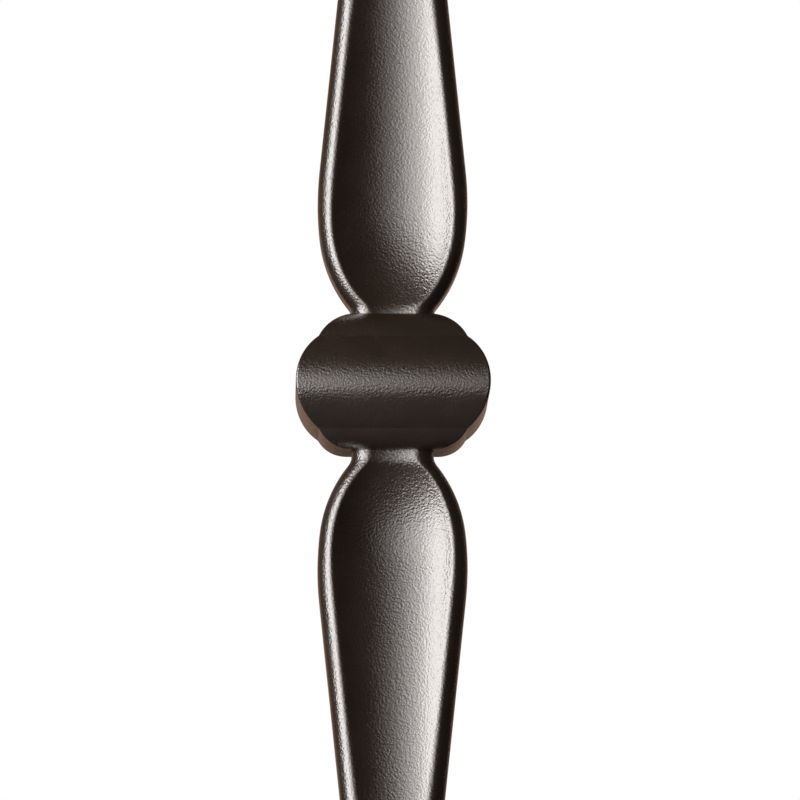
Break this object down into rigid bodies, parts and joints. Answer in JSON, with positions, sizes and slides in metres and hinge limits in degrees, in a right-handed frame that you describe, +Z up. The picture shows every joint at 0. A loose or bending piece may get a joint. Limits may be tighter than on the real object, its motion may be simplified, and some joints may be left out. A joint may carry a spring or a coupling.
{
  "type": "stair baluster",
  "caption": "Square iron stair baluster, forged into dished spoons above and below a moulded square knuckle collar, dark bronze coated, to stand between a tread and a handrail.",
  "frame": {"origin": "centre of the lower end face of the bar", "axes": "+Z up along the bar, -Y to the front, where a spoon's hollow faces the viewer, +Y to the back, where the collar's seam is"},
  "size_m": [0.03, 0.03, 1.1176],
  "materials": {
    "dark_coat": "satin"
  },
  "bodies": {
    "root": {"forged_bar": "dark_coat", "knuckle_collar": "dark_coat"}
  },
  "joints": []
}
